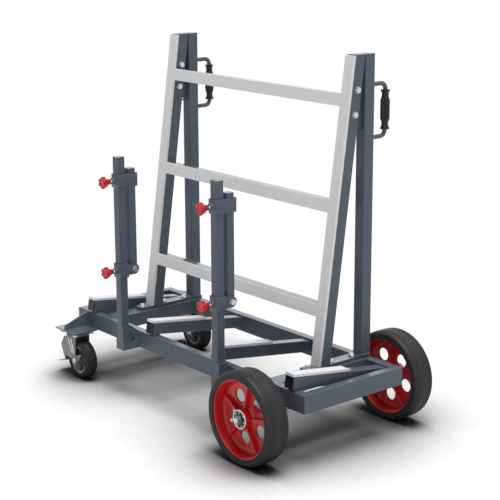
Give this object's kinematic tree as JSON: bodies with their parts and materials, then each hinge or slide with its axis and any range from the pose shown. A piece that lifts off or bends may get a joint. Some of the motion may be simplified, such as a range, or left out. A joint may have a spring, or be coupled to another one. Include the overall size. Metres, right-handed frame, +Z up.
{
  "type": "slab cart",
  "caption": "Slab cart with a leaning rubber-faced frame, sloping support arms, two large wheels, swivel casters, push handles and front posts with swing-down tubes.",
  "frame": {"origin": "on the floor, under the middle of the cart's overall length and width", "axes": "+X along the cart from the caster end to the large wheels, +Y from the front posts to the push handles, +Z up"},
  "size_m": [1.2743, 0.7148, 1.217],
  "materials": {
    "frame_paint": "semi-gloss slate grey paint",
    "facing_rubber": "matt light grey rubber",
    "cap_plastic": "matt black",
    "grip_plastic": "glossy black, ribbed lengthwise",
    "zinc_steel": "bright zinc plate",
    "tyre_rubber": "matt dark grey",
    "rim_red": "semi-gloss red paint",
    "knob_red": "semi-gloss red",
    "caster_core": "matt dark grey",
    "caster_tread_rubber": "matt black with fine ribs"
  },
  "bodies": {
    "chassis": {"front_rail": "frame_paint", "back_rail": "frame_paint", "left_end_rail": "frame_paint", "right_end_rail": "frame_paint", "cross_members": "frame_paint", "foot_bars": "frame_paint", "arm_rubbers": "facing_rubber", "arm_end_caps": "cap_plastic", "arm_rests": "frame_paint", "upright_facings": "facing_rubber", "rungs": "frame_paint", "rung_facings": "facing_rubber", "gusset_plates": "frame_paint", "top_caps": "frame_paint", "handles": "frame_paint", "grips": "grip_plastic", "frame_bolts": "zinc_steel", "post_foot_plates": "frame_paint", "post_caps": "frame_paint", "axle": "zinc_steel", "axle_brackets": "frame_paint", "axle_nuts": "zinc_steel", "caster_brackets": "frame_paint", "caster_top_plates": "zinc_steel", "support_arm_1": "frame_paint", "support_arm_2": "frame_paint", "support_arm_3": "frame_paint", "support_arm_4": "frame_paint", "left_upright": "frame_paint", "left_strut": "frame_paint", "left_post": "frame_paint", "right_upright": "frame_paint", "right_strut": "frame_paint", "right_post": "frame_paint"},
    "front_wheel": {"front_tyre": "tyre_rubber", "front_rim": "rim_red"},
    "front_swivel": {"front_caster_fork": "zinc_steel", "front_caster_axle": "zinc_steel"},
    "front_caster_wheel": {"front_caster_core": "caster_core", "front_caster_tread": "caster_tread_rubber"},
    "front_pedal": {"front_brake_pedal": "zinc_steel"},
    "back_wheel": {"back_tyre": "tyre_rubber", "back_rim": "rim_red"},
    "back_swivel": {"back_caster_fork": "zinc_steel", "back_caster_axle": "zinc_steel"},
    "back_caster_wheel": {"back_caster_core": "caster_core", "back_caster_tread": "caster_tread_rubber"},
    "back_pedal": {"back_brake_pedal": "zinc_steel"},
    "left_upper_slider": {"left_upper_collar": "frame_paint"},
    "left_lower_slider": {"left_lower_collar": "frame_paint", "left_pivot_bolt": "zinc_steel"},
    "left_swing": {"left_swing_tube": "frame_paint"},
    "left_upper_screw": {"left_upper_knob": "knob_red"},
    "left_lower_screw": {"left_lower_knob": "knob_red"},
    "right_upper_slider": {"right_upper_collar": "frame_paint"},
    "right_lower_slider": {"right_lower_collar": "frame_paint", "right_pivot_bolt": "zinc_steel"},
    "right_swing": {"right_swing_tube": "frame_paint"},
    "right_upper_screw": {"right_upper_knob": "knob_red"},
    "right_lower_screw": {"right_lower_knob": "knob_red"}
  },
  "joints": [
    {"name": "front_wheel_turn", "type": "hinge", "parent": "chassis", "child": "front_wheel", "pos_m": [0.48675, -0.3105, 0.15], "axis": [0, 1, 0], "continuous": true},
    {"name": "front_caster_swivel", "type": "hinge", "parent": "chassis", "child": "front_swivel", "pos_m": [-0.54675, -0.26, 0.1587], "axis": [0, 0, 1], "continuous": true},
    {"name": "front_caster_turn", "type": "hinge", "parent": "front_swivel", "child": "front_caster_wheel", "pos_m": [-0.51175, -0.26061, 0.07], "axis": [0.0175, 0.9998, 0], "continuous": true},
    {"name": "front_pedal_press", "type": "hinge", "parent": "front_swivel", "child": "front_pedal", "pos_m": [-0.58174, -0.25939, 0.1377], "axis": [-0.0175, -0.9998, 0], "range_deg": [-10, 4]},
    {"name": "back_wheel_turn", "type": "hinge", "parent": "chassis", "child": "back_wheel", "pos_m": [0.48675, 0.3105, 0.15], "axis": [0, 1, 0], "continuous": true},
    {"name": "back_caster_swivel", "type": "hinge", "parent": "chassis", "child": "back_swivel", "pos_m": [-0.54675, 0.26, 0.1587], "axis": [0, 0, 1], "continuous": true},
    {"name": "back_caster_turn", "type": "hinge", "parent": "back_swivel", "child": "back_caster_wheel", "pos_m": [-0.51175, 0.25939, 0.07], "axis": [0.0175, 0.9998, 0], "continuous": true},
    {"name": "back_pedal_press", "type": "hinge", "parent": "back_swivel", "child": "back_pedal", "pos_m": [-0.58174, 0.26061, 0.1377], "axis": [-0.0175, -0.9998, 0], "range_deg": [-10, 4]},
    {"name": "left_upper_slide", "type": "slide", "parent": "chassis", "child": "left_upper_slider", "axis": [0, 0, 1], "range_m": [-0.11, 0.05]},
    {"name": "left_lower_slide", "type": "slide", "parent": "chassis", "child": "left_lower_slider", "axis": [0, 0, 1], "range_m": [-0.15, 0.12]},
    {"name": "left_swing_tilt", "type": "hinge", "parent": "left_lower_slider", "child": "left_swing", "pos_m": [-0.25025, -0.216, 0.455], "axis": [-1, 0, 0], "range_deg": [0, 90]},
    {"name": "left_upper_knob_turn", "type": "hinge", "parent": "left_upper_slider", "child": "left_upper_screw", "pos_m": [-0.25025, -0.2783, 0.766], "axis": [0, -1, 0], "range_deg": [0, 720]},
    {"name": "left_lower_knob_turn", "type": "hinge", "parent": "left_lower_slider", "child": "left_lower_screw", "pos_m": [-0.25025, -0.2783, 0.455], "axis": [0, -1, 0], "range_deg": [0, 720]},
    {"name": "right_upper_slide", "type": "slide", "parent": "chassis", "child": "right_upper_slider", "axis": [0, 0, 1], "range_m": [-0.11, 0.05]},
    {"name": "right_lower_slide", "type": "slide", "parent": "chassis", "child": "right_lower_slider", "axis": [0, 0, 1], "range_m": [-0.15, 0.12]},
    {"name": "right_swing_tilt", "type": "hinge", "parent": "right_lower_slider", "child": "right_swing", "pos_m": [0.27975, -0.216, 0.455], "axis": [-1, 0, 0], "range_deg": [0, 90]},
    {"name": "right_upper_knob_turn", "type": "hinge", "parent": "right_upper_slider", "child": "right_upper_screw", "pos_m": [0.27975, -0.2783, 0.766], "axis": [0, -1, 0], "range_deg": [0, 720]},
    {"name": "right_lower_knob_turn", "type": "hinge", "parent": "right_lower_slider", "child": "right_lower_screw", "pos_m": [0.27975, -0.2783, 0.455], "axis": [0, -1, 0], "range_deg": [0, 720]}
  ]
}
